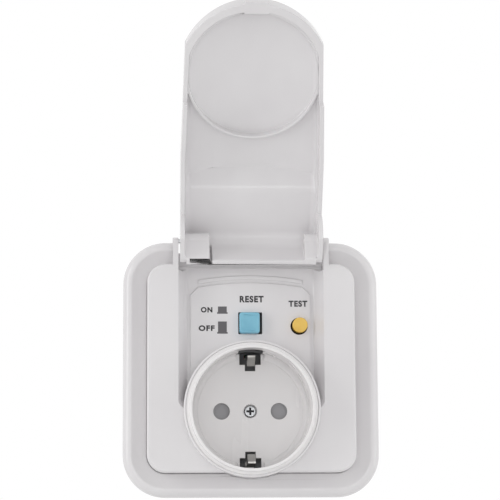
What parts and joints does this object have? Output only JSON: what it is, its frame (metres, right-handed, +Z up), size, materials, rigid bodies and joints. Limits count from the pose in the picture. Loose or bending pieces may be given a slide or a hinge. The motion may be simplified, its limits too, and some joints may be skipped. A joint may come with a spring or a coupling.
{
  "type": "residual current device socket",
  "caption": "Flush wall socket for an earthed two-pin plug with built-in residual current protection, test and reset buttons and a hinged flap.",
  "frame": {"origin": "centre of the support ring's box fixing, on the wall plane at the ring's back", "axes": "+Y into the wall, +Z up, +X to the right as seen from the room"},
  "size_m": [0.084, 0.0892, 0.1568],
  "materials": {
    "housing_plastic": "moulded light grey-white plastic, satin",
    "button_blue": "moulded pale blue plastic",
    "button_yellow": "moulded yellow plastic",
    "shutter_grey": "moulded mid grey plastic",
    "base_plastic": "moulded grey thermoset",
    "ring_steel": "zinc-plated pressed steel",
    "screw_steel": "bright plated steel",
    "brass": "turned and pressed brass",
    "strap_brass": "nickel-plated spring brass",
    "copper": "copper strip and enamelled wire",
    "spring_steel": "spring wire",
    "relay_iron": "soft iron",
    "board_green": "printed board with solder mask",
    "chip_black": "moulded package",
    "part_blue": "dipped lacquer",
    "part_can": "sleeved can",
    "part_tan": "lacquered resistor bodies"
  },
  "bodies": {
    "housing": {"outer_frame": "housing_plastic", "front_cover": "housing_plastic", "socket_well": "housing_plastic", "well_ring": "housing_plastic", "hinge_pin_left": "screw_steel", "hinge_pin_right": "screw_steel", "cover_screw": "screw_steel", "shutter_spring": "spring_steel", "support_ring": "ring_steel", "ring_screws": "screw_steel", "claw_screws": "screw_steel", "base_housing": "base_plastic", "rear_cover": "base_plastic", "housing_screws": "screw_steel", "earth_strap": "strap_brass", "live_sleeve": "brass", "neutral_sleeve": "brass", "contact_carrier": "base_plastic", "live_bar": "copper", "neutral_bar": "copper", "terminal_live": "brass", "terminal_neutral": "brass", "terminal_earth": "brass", "terminal_screws": "screw_steel", "transformer_core": "relay_iron", "transformer_winding": "copper", "circuit_board": "board_green", "capacitor": "part_can", "varistor": "part_blue", "control_chip": "chip_black", "resistors": "part_tan", "coil_bobbin": "base_plastic", "coil_winding": "copper", "coil_yoke": "relay_iron", "plunger_spring": "spring_steel", "latch_pin": "screw_steel", "opening_spring": "spring_steel", "reset_spring": "spring_steel", "test_spring": "spring_steel", "test_leaf": "copper"},
    "flap": {"lid": "housing_plastic"},
    "shutter": {"pin_shutter": "shutter_grey"},
    "reset": {"reset_button": "button_blue"},
    "test": {"test_button": "button_yellow"},
    "carriage": {"contact_carriage": "base_plastic", "moving_contact_live": "copper", "moving_contact_neutral": "copper"},
    "plunger": {"trip_plunger": "relay_iron"},
    "latch": {"latch_lever": "base_plastic"},
    "left_claw": {"claw_left": "ring_steel"},
    "right_claw": {"claw_right": "ring_steel"}
  },
  "joints": [
    {"name": "flap_hinge", "type": "hinge", "parent": "housing", "child": "flap", "pos_m": [0, -0.0095, 0.0468], "axis": [1, 0, 0], "range_deg": [0, 146]},
    {"name": "shutter_turn", "type": "hinge", "parent": "housing", "child": "shutter", "pos_m": [0, 0.0036, -0.0086], "axis": [0, 1, 0], "range_deg": [0, 40], "stiffness_Nm_per_rad": 0.002, "deforming": ["shutter_spring"]},
    {"name": "reset_press", "type": "slide", "parent": "housing", "child": "reset", "axis": [0, 1, 0], "range_m": [0, 0.003], "stiffness_N_per_m": 400, "springref_m": -0.002, "deforming": ["reset_spring", "opening_spring"]},
    {"name": "test_press", "type": "slide", "parent": "housing", "child": "test", "axis": [0, 1, 0], "range_m": [0, 0.0012], "stiffness_N_per_m": 400, "springref_m": -0.001, "deforming": ["test_spring"]},
    {"name": "carriage_slide", "type": "slide", "parent": "housing", "child": "carriage", "axis": [0, 1, 0], "range_m": [0, 0.003], "deforming": ["opening_spring"]},
    {"name": "plunger_slide", "type": "slide", "parent": "housing", "child": "plunger", "axis": [0, -1, 0], "range_m": [0, 0.0015], "stiffness_N_per_m": 200, "deforming": ["plunger_spring"]},
    {"name": "latch_turn", "type": "hinge", "parent": "housing", "child": "latch", "pos_m": [-0.0084, 0.0143, 0.0152], "axis": [0, 0, 1], "range_deg": [0, 15]},
    {"name": "left_claw_spread", "type": "hinge", "parent": "housing", "child": "left_claw", "pos_m": [-0.0241, 0.0022, -0.008], "axis": [0, 0, 1], "range_deg": [0, 15]},
    {"name": "right_claw_spread", "type": "hinge", "parent": "housing", "child": "right_claw", "pos_m": [0.0241, 0.0022, -0.008], "axis": [0, 0, -1], "range_deg": [0, 15]}
  ],
  "couplings": [
    {"joint": "carriage_slide", "follows": "reset_press", "ratio": 1},
    {"joint": "latch_turn", "follows": "plunger_slide", "rad_per_m": 174.5}
  ]
}
